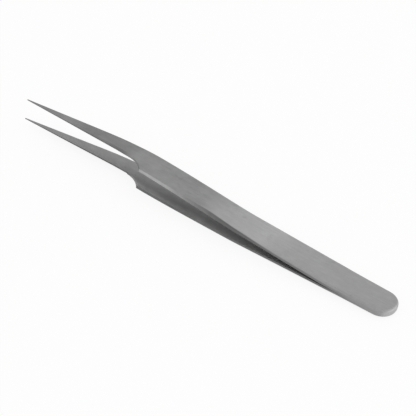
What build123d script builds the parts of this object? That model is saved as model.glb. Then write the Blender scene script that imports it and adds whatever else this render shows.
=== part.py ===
"""Pointed precision tweezers: two bowed steel blades, welded face to face at the tail.

Each blade starts as a strip with a round tail end and rounded outer edges. It is bent
twice, once where it leaves the weld and once behind the shoulder, and then ground: the
outer face is thinned towards the point, the near side is taken back towards the shoulder,
and a wheel cuts the hollow shoulder behind the point. The two blades are mirror images.

The blades are made lying along X about a level plane of symmetry, with their points at
X = 0 and their tail at X = overall_length. Places along a blade are counted from the
points, lengths with tail in their name from the tail. At the end the pair is tipped onto
the surface that it lies on, and the origin is put under its middle, at that surface.
"""
from build123d import *
import math
import os

# Plan of a blade, in millimetres and degrees
overall_length = 115.0
tail_width = 9.3
closing_tail_length = 18.6
tail_end_width = 8.6
tail_end_flat = 0.3
tail_far_corner_radius = 4.1
waist_place = 68.9
waist_far_offset = 4.29
waist_near_offset = 4.2
far_edge_skew = 2.39
near_edge_skew = 2.84
edge_bend_radius = 80.0

# The flat ground along the near side, from the shoulder to where it runs out
side_grind_place = 62.0
side_grind_skew = 3.46

# The ground point, in plan
point_width = 0.18
point_near_offset = 0.64
point_taper = 8.55
taper_corner_radius = 90.0

# The root of the point, where the outer face steps down and the wheel's hollow begins
root_place = 33.4
relief_start_place = 29.0
relief_start_slope = 2.5
relief_radius = 6.0

# Side view of a blade
strip_thickness = 1.14
welded_tail_length = 16.9
weld_bend = 2.58
weld_bend_radius = 220.0
front_bend_place = 49.1
front_bend = 1.53
front_bend_radius = 390.0
outer_edge_rounding = 0.8

# Grinding of the outer face: where its flats end, and the thickness that it leaves
face_grind_place = 63.0
face_bend_place = 40.4
face_bend_radius = 150.0
bend_thickness = 0.97
root_thickness = 0.61
point_thickness = 0.17

# The bevel along the near edge of the point, steeper towards the shoulder
bevel_start_place = 13.0
bevel_width = 0.58
bevel_start_depth = 0.01
bevel_root_depth = 0.15

# How far a cutter or a blank reaches past the blade
spare = 5.0

tail_radius = tail_width / 2
closing_place = overall_length - closing_tail_length
weld_place = overall_length - welded_tail_length
rear_angle = math.radians(weld_bend)
front_angle = math.radians(weld_bend - front_bend)
bend_height = (weld_place - front_bend_place) * math.tan(rear_angle)
beyond_side = tail_width + spare


def inner_height(place):
    """Height of the inner face above the plane of symmetry, with the bends left sharp."""
    if place > weld_place:
        return 0.0
    if place > front_bend_place:
        return (weld_place - place) * math.tan(rear_angle)
    return bend_height + (front_bend_place - place) * math.tan(front_angle)


# Heights of the ground outer face, and one above everything
tip_height = inner_height(0) + point_thickness
root_height = inner_height(root_place) + root_thickness
top_of_bend = inner_height(face_bend_place) + bend_thickness
grind_height = inner_height(face_grind_place) + strip_thickness / math.cos(rear_angle)
point_slope = (tip_height - root_height) / root_place
body_slope = (top_of_bend - grind_height) / (face_grind_place - face_bend_place)
beyond_face = tip_height + strip_thickness + spare


def bent_strip():
    """A strip of even thickness with its two bends, wider than the blade."""
    thick_front = strip_thickness / math.cos(front_angle)
    thick_bend = strip_thickness / math.cos((rear_angle - front_angle) / 2)
    thick_weld = strip_thickness / math.cos(rear_angle / 2)
    lean_bend, lean_weld = (front_angle + rear_angle) / 2, rear_angle / 2
    start_height = inner_height(-spare)
    inner = FilletPolyline(
        (-spare, start_height),
        (front_bend_place, bend_height),
        (weld_place, 0),
        (overall_length, 0),
        radius=[front_bend_radius, weld_bend_radius + strip_thickness],
    )
    outer = FilletPolyline(
        (-spare, start_height + thick_front),
        (front_bend_place + thick_bend * math.sin(lean_bend),
         bend_height + thick_bend * math.cos(lean_bend)),
        (weld_place + thick_weld * math.sin(lean_weld), thick_weld * math.cos(lean_weld)),
        (overall_length, strip_thickness),
        radius=[front_bend_radius + strip_thickness, weld_bend_radius],
    )
    side = make_face(inner.edges() + outer.edges()
                     + [Line(inner @ 0, outer @ 0), Line(inner @ 1, outer @ 1)])
    return extrude(Plane.XZ * side, amount=beyond_side, both=True)


def blank_outline():
    """Plan before grinding: a tapered front, a slight waist and a round tail end."""
    taper = math.tan(math.radians(point_taper))
    skew = math.tan(math.radians(far_edge_skew))
    near_skew = math.tan(math.radians(near_edge_skew))
    point_far_offset = point_near_offset + point_width
    widest_place = (waist_far_offset + waist_place * skew - point_far_offset) / (taper + skew)
    closing_angle = math.atan2((tail_width - tail_end_width) / 2, closing_tail_length)
    corner_reach = math.tan(math.pi / 4 - closing_angle / 2)
    tail_near_corner_radius = (tail_end_width - tail_end_flat) / corner_reach - tail_far_corner_radius
    root_near_offset = waist_near_offset - (waist_place - root_place) * near_skew
    outline = FilletPolyline(
        (-spare, point_far_offset - spare * taper),
        (widest_place, point_far_offset + widest_place * taper),
        (waist_place, waist_far_offset),
        (closing_place, tail_radius),
        (overall_length, tail_end_width / 2),
        (overall_length, -tail_end_width / 2),
        (closing_place, -tail_radius),
        (waist_place, -waist_near_offset),
        (root_place, -root_near_offset),
        (-spare, -root_near_offset),
        radius=[taper_corner_radius, edge_bend_radius, edge_bend_radius, tail_far_corner_radius,
                tail_near_corner_radius, edge_bend_radius, edge_bend_radius, edge_bend_radius],
    )
    return make_face(outline.edges() + [Line(outline @ 1, outline @ 0)])


def side_grind():
    """Plan of what is ground off the near side: nothing at its rear end, most at the shoulder."""
    near_skew = math.tan(math.radians(near_edge_skew))
    ground_skew = math.tan(math.radians(side_grind_skew))
    end_offset = waist_near_offset - (waist_place - side_grind_place) * near_skew
    return make_face(Polyline(
        (-spare, (side_grind_place + spare) * ground_skew - end_offset),
        (side_grind_place, -end_offset),
        (side_grind_place, -beyond_side),
        (-spare, -beyond_side),
        close=True))


def shoulder_relief():
    """Plan of the hollow that a wheel leaves at the shoulder, and all beside and ahead of the point."""
    ahead = -2 * spare
    slope = math.radians(relief_start_slope)
    relief_offset = point_near_offset - (root_place - relief_start_place) * math.tan(slope)
    around_point = make_face(Polyline(
        (ahead, beyond_side), (0, beyond_side), (0, point_near_offset),
        (relief_start_place, point_near_offset), (root_place, relief_offset),
        (root_place, -beyond_side), (ahead, -beyond_side),
        close=True))
    wheel_center = Pos(root_place - relief_radius * math.sin(slope),
                       relief_offset - relief_radius * math.cos(slope))
    return around_point + wheel_center * Circle(relief_radius)


def through_blade(outline):
    """A plan outline as a cutter through the whole height of a blade."""
    return extrude(outline, amount=beyond_face, both=True)


def face_grind():
    """What is ground off the outer face: a flat along the point, and one behind it with a bend."""
    behind = face_grind_place + spare
    bend = FilletPolyline(
        (root_place, root_height),
        (face_bend_place, top_of_bend),
        (behind, grind_height - spare * body_slope),
        radius=[face_bend_radius],
    )
    rest = Polyline(bend @ 1, (behind, beyond_face), (-spare, beyond_face),
                    (-spare, tip_height + spare * point_slope), bend @ 0)
    side = make_face(bend.edges() + rest.edges())
    return extrude(Plane.XZ * side, amount=beyond_side, both=True)


def bevel_section(place, depth):
    """What the bevel takes off the outer face at one place along the point."""
    face_height = tip_height - point_slope * place
    inward = point_near_offset + bevel_width
    outward = point_near_offset - spare
    drop = depth * (inward - outward) / bevel_width
    return make_face(Polyline(
        (place, inward, face_height), (place, outward, face_height - drop),
        (place, outward, beyond_face), (place, inward, beyond_face),
        close=True))


def point_bevel():
    """The bevel that narrows the outer face of the point, from almost level to a clear slope."""
    return loft([bevel_section(bevel_start_place, bevel_start_depth),
                 bevel_section(root_place, bevel_root_depth)], ruled=True)


def is_outer_long_edge(edge):
    """True for an edge between the outer face and a side, the round tail end's among them."""
    middle, along = edge.position_at(0.5), edge.tangent_at(0.5)
    upright = abs(along.Z) > abs(along.X) + abs(along.Y)
    outer = middle.Z > inner_height(middle.X) + strip_thickness / 2
    return outer and not upright and middle.X > 0


def upper_blade():
    """The blade above the plane of symmetry."""
    blank = bent_strip() & through_blade(blank_outline())
    blank = fillet(blank.edges().filter_by(is_outer_long_edge), outer_edge_rounding)
    blade = blank - face_grind() - through_blade(side_grind())
    blade -= through_blade(shoulder_relief())
    blade -= point_bevel()
    return blade.solid()


upper = upper_blade()
lower = mirror(upper, about=Plane.XY)

# The lower blade rests on the rear edge of its ground face and on the rounding of its tail end
tail_round = Vector(overall_length - outer_edge_rounding, strip_thickness - outer_edge_rounding)
between = Vector(face_grind_place, grind_height) - tail_round
lean = math.atan2(between.X, between.Y) + math.acos(outer_edge_rounding / between.length)
upper, lower = (Rot(0, math.degrees(lean), 0) * blade for blade in (upper, lower))
around = (upper + lower).bounding_box()
middle = around.center()
to_origin = Pos(-middle.X, -middle.Y, -around.min.Z)

os.makedirs("parts", exist_ok=True)
for name, blade in (("upper_arm", upper), ("lower_arm", lower)):
    export_step(to_origin * blade, f"parts/{name}.step")
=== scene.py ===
"""Pointed precision tweezers of satin stainless steel, lying open on a white table."""

import math

import bpy
from mathutils import Matrix, Vector


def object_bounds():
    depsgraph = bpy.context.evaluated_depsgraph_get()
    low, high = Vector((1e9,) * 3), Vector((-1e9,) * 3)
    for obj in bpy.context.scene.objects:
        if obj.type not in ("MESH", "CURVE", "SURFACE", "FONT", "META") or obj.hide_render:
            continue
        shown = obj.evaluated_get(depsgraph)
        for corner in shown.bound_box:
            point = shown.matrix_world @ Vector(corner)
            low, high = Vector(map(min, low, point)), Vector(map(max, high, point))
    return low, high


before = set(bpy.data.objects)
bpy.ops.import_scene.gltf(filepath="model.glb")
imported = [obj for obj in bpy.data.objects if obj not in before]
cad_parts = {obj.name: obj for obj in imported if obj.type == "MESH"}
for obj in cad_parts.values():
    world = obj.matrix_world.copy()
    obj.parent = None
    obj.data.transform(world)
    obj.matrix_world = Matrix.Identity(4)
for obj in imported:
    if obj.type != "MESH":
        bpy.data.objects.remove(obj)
cad_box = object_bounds()


# The two arms. Each is one blade of stainless strip, ground on its outer face and near side,
# and welded to the other at the tail. The wheel leaves fine lines along the blade, the faces grow
# lighter and darker along it, and handling leaves faint smudges. The sides, the tail's end and the
# inner faces carry painted shade, painted reflection, a painted highlight and painted light.

BLADE_LENGTH = 115.0

# Tones of the steel, by the distance from the points in millimetres
FACE_TONES = ((15, 0.265), (20, 0.248), (32, 0.255), (34.5, 0.300), (57, 0.306), (64.5, 0.400),
              (78, 0.442), (84, 0.390), (115, 0.360))
# The near sides' tones are painted: a painted reflection as the bright strip behind the upper arm's
# shoulder, and painted shade along most of both near sides, lighter towards the tail
UPPER_SIDE_PAINTED_TONES = ((30.5, 0.165), (33, 0.25), (38, 0.47), (48, 0.44), (58, 0.25), (66, 0.155),
                    (98, 0.19), (106, 0.30), (113, 0.31))
LOWER_SIDE_PAINTED_TONES = ((28, 0.13), (36, 0.165), (80, 0.17), (90, 0.12), (98, 0.14), (106, 0.26), (113, 0.31))
# The inner faces are painted lighter: painted light in the gap between the arms
INNER_PAINTED_LIGHT_TONES = ((20, 0.318), (34, 0.345), (50, 0.31), (62, 0.32), (80, 0.38))
# Painted light along the near edge of the inner face
PAINTED_LIGHT_EDGE_TONE = 0.50
# Painted shade on the far side
FAR_SIDE_SHADE_TONE = 0.22
# Painted shade on the walls that face the points, where the wheel cut the shoulder
WHEEL_CUT_SHADE_TONE = 0.25
# Painted highlight on the tail's rounded end, on top of the lamp's own highlight
TAIL_END_HIGHLIGHT_TONE = 0.49

# How far the end of a grind moves back for each metre across, because the wheel was held askew
WHEEL_SKEW = 0.25

# Places along the blades are in metres behind their middle, and so are less than 0 in front.
# The near edge's rounding has the side's painted tones ahead of the first, and the face's behind the
# second, where steel has to face sideways by the allowance more to count as side.
ROUNDING_LEAVES_SIDE = -0.010
ROUNDING_JOINS_FACE = 0.026
ROUNDING_ALLOWANCE = 0.75

# The front is handled more: fully ahead of the first place, and not at all behind the second
HANDLED_MOST = -0.005
HANDLED_END = 0.015

# The near edge of the inner face, as a line, and the band along it that has painted light
NEAR_EDGE_SLOPE = 0.0605
NEAR_EDGE_OFFSET = 0.0040
PAINTED_LIGHT_BAND_WIDTH = 0.0022
PAINTED_LIGHT_BAND_BRIGHTEST = 0.0002
PAINTED_LIGHT_START = -0.030
PAINTED_LIGHT_WHOLE = -0.020

# The sockets of a Mix node that handle colours, which have to be picked by number
MIX_AMOUNT = 0
MIX_FIRST_COLOUR = 6
MIX_SECOND_COLOUR = 7
MIX_COLOUR_RESULT = 2


def grey(tone):
    return (tone, tone, tone, 1.0)


class Value:
    """A value on its way through a finish, which takes part in ordinary arithmetic."""

    def __init__(self, finish, socket):
        self.finish = finish
        self.socket = socket

    def maths(self, operation, *terms):
        return self.finish.node("ShaderNodeMath", {"operation": operation}, dict(enumerate(terms)))

    def __add__(self, other):
        return self.maths("ADD", self, other)

    def __sub__(self, other):
        return self.maths("SUBTRACT", self, other)

    def __rsub__(self, other):
        return self.maths("SUBTRACT", other, self)

    def __mul__(self, other):
        return self.maths("MULTIPLY", self, other)

    __radd__ = __add__
    __rmul__ = __mul__


class Finish:
    """The nodes of a material, or of the room's light."""

    def __init__(self, owner):
        owner.use_nodes = True
        self.owner = owner
        self.tree = owner.node_tree
        self.tree.nodes.clear()

    def node(self, kind, settings, sockets, output=0):
        """Add a node, with its settings first and then what its sockets take, and give its output."""
        made = self.tree.nodes.new(kind)
        for name, setting in settings.items():
            if name == "stops":
                self.set_stops(made.color_ramp.elements, setting)
            else:
                setattr(made, name, setting)
        for name, given in sockets.items():
            if isinstance(given, Value):
                self.tree.links.new(given.socket, made.inputs[name])
            else:
                made.inputs[name].default_value = given
        if made.outputs:
            return Value(self, made.outputs[output])

    def set_stops(self, elements, stops):
        while len(elements) < len(stops):
            elements.new(position=0.5)
        for element, (position, tone) in zip(elements, stops):
            element.position = position
            element.color = grey(tone)

    def part_of(self, vector, axis):
        return self.node("ShaderNodeSeparateXYZ", {}, {"Vector": vector}, axis)

    def marks(self, place, length, width, detail):
        """Cloudy marks about 0, with their length along the blade and width across it in metres."""
        scale = (1 / length, 1 / width, 1 / width)
        stretched = self.node("ShaderNodeMapping", {}, {"Vector": place, "Scale": scale})
        cloudy = self.node("ShaderNodeTexNoise", {}, {"Vector": stretched, "Scale": 1.0, "Detail": detail})
        return cloudy - 0.5

    def fade(self, value, start, end):
        """0 at start and 1 at end, with a soft turn at both."""
        return self.node("ShaderNodeMapRange", {"interpolation_type": "SMOOTHSTEP"},
                         {"Value": value, "From Min": start, "From Max": end})

    def tones(self, along, stops):
        """The tone at each place along the blade."""
        return self.node("ShaderNodeValToRGB",
                         {"stops": [(place / BLADE_LENGTH, tone) for place, tone in stops]},
                         {"Fac": along})

    def blend(self, amount, first, second, way="MIX"):
        """From the first colour to the second."""
        return self.node("ShaderNodeMix", {"data_type": "RGBA", "blend_type": way},
                         {MIX_AMOUNT: amount, MIX_FIRST_COLOUR: first, MIX_SECOND_COLOUR: second},
                         MIX_COLOUR_RESULT)


def satin_steel(name, near_side_painted_tones, inward):
    """The steel of one arm, whose inner face looks up where inward is 1 and down where it is -1."""
    steel = Finish(bpy.data.materials.new(name))
    place = steel.node("ShaderNodeTexCoord", {}, {}, "Object")
    facing = steel.node("ShaderNodeTexCoord", {}, {}, "Normal")
    x = steel.part_of(place, "X")
    y = steel.part_of(place, "Y")
    backward = steel.part_of(facing, "X")
    sideways = steel.part_of(facing, "Y")
    upward = steel.part_of(facing, "Z")

    points_end = cad_box[0][0]
    tail_end = cad_box[1][0]
    along = (x - WHEEL_SKEW * y - points_end) * (1 / (tail_end - points_end))

    # Which way the steel faces tells its sides apart, and places the painted shade, painted reflection,
    # painted highlight and painted light. Towards the tail, only the steep part of the near edge's
    # rounding still counts as side.
    rounding = steel.fade(x, start=ROUNDING_LEAVES_SIDE, end=ROUNDING_JOINS_FACE)
    near_side = steel.fade(sideways + ROUNDING_ALLOWANCE * rounding, start=-0.05, end=-0.30)
    far_side = steel.fade(sideways, start=0.45, end=0.95)
    wheel_cut = steel.fade(backward, start=-0.10, end=-0.30)
    tail_wall = steel.fade(backward, start=0.40, end=0.80)
    inner = steel.fade(upward * inward, start=0.60, end=0.95)
    tumbled = steel.fade(upward * upward, start=0.97, end=0.75)

    # Painted light on the inner face along its near edge, from the shoulder back
    from_near_edge = y + NEAR_EDGE_SLOPE * x + NEAR_EDGE_OFFSET
    painted_light_band = steel.fade(from_near_edge, start=PAINTED_LIGHT_BAND_WIDTH, end=PAINTED_LIGHT_BAND_BRIGHTEST)
    painted_light = painted_light_band * steel.fade(x, start=PAINTED_LIGHT_START, end=PAINTED_LIGHT_WHOLE)
    inner_painted_tone = steel.blend(painted_light, steel.tones(along, INNER_PAINTED_LIGHT_TONES), grey(PAINTED_LIGHT_EDGE_TONE))

    # Painted reflection and painted shade on the near side
    tone = steel.blend(near_side, steel.tones(along, FACE_TONES), steel.tones(along, near_side_painted_tones))
    # Painted shade on the far side
    tone = steel.blend(far_side, tone, grey(FAR_SIDE_SHADE_TONE))
    # Painted shade on the shoulder's cut
    tone = steel.blend(wheel_cut, tone, grey(WHEEL_CUT_SHADE_TONE))
    # Painted highlight on the tail's end
    tone = steel.blend(tail_wall, tone, grey(TAIL_END_HIGHLIGHT_TONE))
    # Painted light on the inner face
    tone = steel.blend(inner, tone, inner_painted_tone)

    # Grinding lines along the blade, clouds and smudges of handling, and a few small stains
    lines = steel.marks(place, length=0.014, width=0.0004, detail=2.0)
    fine_lines = steel.marks(place, length=0.005, width=0.00007, detail=4.0)
    clouds = steel.marks(place, length=0.006, width=0.006, detail=3.0)
    smudges = steel.marks(place, length=0.0022, width=0.0011, detail=3.0)
    spots = steel.marks(place, length=0.0024, width=0.0024, detail=1.0)
    stains = steel.fade(spots, start=0.14, end=0.26)
    handled = steel.fade(x, start=HANDLED_END, end=HANDLED_MOST)
    ground = 1.005 + 0.18 * lines + 0.30 * fine_lines
    used = (0.10 + 0.30 * handled) * clouds + (0.16 + 0.10 * handled) * smudges - 0.08 * stains
    colour = steel.blend(1.0, tone, ground + used, "MULTIPLY")
    grain = steel.node("ShaderNodeBump", {}, {
        "Strength": 0.15,
        "Distance": 0.00002,
        "Height": lines + fine_lines,
    })

    # The inner face keeps the strip's coarser finish, and tumbling has dulled sides and edges
    roughness = 0.32 + 0.10 * lines + 0.12 * fine_lines + 0.06 * clouds + 0.18 * inner + 0.16 * tumbled
    shader = steel.node("ShaderNodeBsdfPrincipled", {}, {
        "Base Color": colour,
        "Metallic": 1.0,
        "Roughness": roughness,
        "Normal": grain,
    })
    steel.node("ShaderNodeOutputMaterial", {}, {"Surface": shader})
    return steel.owner


for arm, near_side_painted_tones, inward in (("upper_arm", UPPER_SIDE_PAINTED_TONES, -1.0),
                                     ("lower_arm", LOWER_SIDE_PAINTED_TONES, 1.0)):
    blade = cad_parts[arm]
    blade.data.materials.clear()
    blade.data.materials.append(satin_steel(arm + "_steel", near_side_painted_tones, inward))


# The table: a plain white sheet, which shows as white and keeps the tweezers' soft shadow.
# It isn't part of the tweezers.

# How much of the white that is seen is plain white, and not lit and shaded
PLAIN_WHITE = 0.87

bpy.ops.object.select_all(action="DESELECT")
bpy.ops.mesh.primitive_plane_add(size=4.0)
table = bpy.context.object
table.name = "table"
paper = Finish(bpy.data.materials.new("white_paper"))
seen = paper.node("ShaderNodeLightPath", {}, {}, "Is Camera Ray")
mirrored = paper.node("ShaderNodeLightPath", {}, {}, "Is Glossy Ray")
through = paper.node("ShaderNodeLightPath", {}, {}, "Is Transmission Ray")
lit = paper.node("ShaderNodeBsdfDiffuse", {}, {"Color": grey(0.95)})
glow = paper.node("ShaderNodeEmission", {}, {"Color": grey(1.0), "Strength": 1.0})
plain = PLAIN_WHITE * (seen + mirrored + through)
shown = paper.node("ShaderNodeMixShader", {}, {"Fac": plain, 1: lit, 2: glow})
paper.node("ShaderNodeOutputMaterial", {}, {"Surface": shown})
table.data.materials.append(paper.owner)


# Light: a white room, and one broad soft lamp beyond the tail, which brightens its rounded end.

room = Finish(bpy.data.worlds.new("white_room"))
walls = room.node("ShaderNodeBackground", {}, {"Color": grey(1.0), "Strength": 0.85})
room.node("ShaderNodeOutputWorld", {}, {"Surface": walls})
bpy.context.scene.world = room.owner

lamp_way = Vector((0.78, 0.35, 0.50)).normalized()
lamp_distance = 1.2
bpy.ops.object.light_add(type="AREA", location=lamp_way * lamp_distance)
lamp = bpy.context.object
lamp.name = "soft_lamp"
lamp.rotation_euler = lamp_way.to_track_quat("Z", "Y").to_euler()
lamp.data.shape = "DISK"
lamp.data.size = 2.0
lamp.data.energy = 3.5

bpy.context.scene.view_settings.view_transform = "Standard"


# Camera: above the near side and towards the tail, with a long lens, and rolled a little.

aim = Vector((0.00099, 0.0, 0.00284))
azimuth = math.radians(26.925)
elevation = math.radians(39.579)
roll = math.radians(9.067)
distance = 0.56513
toward = Vector((math.sin(azimuth) * math.cos(elevation),
                 -math.cos(azimuth) * math.cos(elevation),
                 math.sin(elevation)))
bpy.ops.object.camera_add(location=aim + toward * distance)
camera = bpy.context.object
camera.data.sensor_width = 36.0
camera.data.lens = 189.75
turn = toward.to_track_quat("Z", "Y").to_matrix().to_4x4() @ Matrix.Rotation(roll, 4, "Z")
camera.matrix_world = Matrix.Translation(camera.location) @ turn
bpy.context.scene.camera = camera
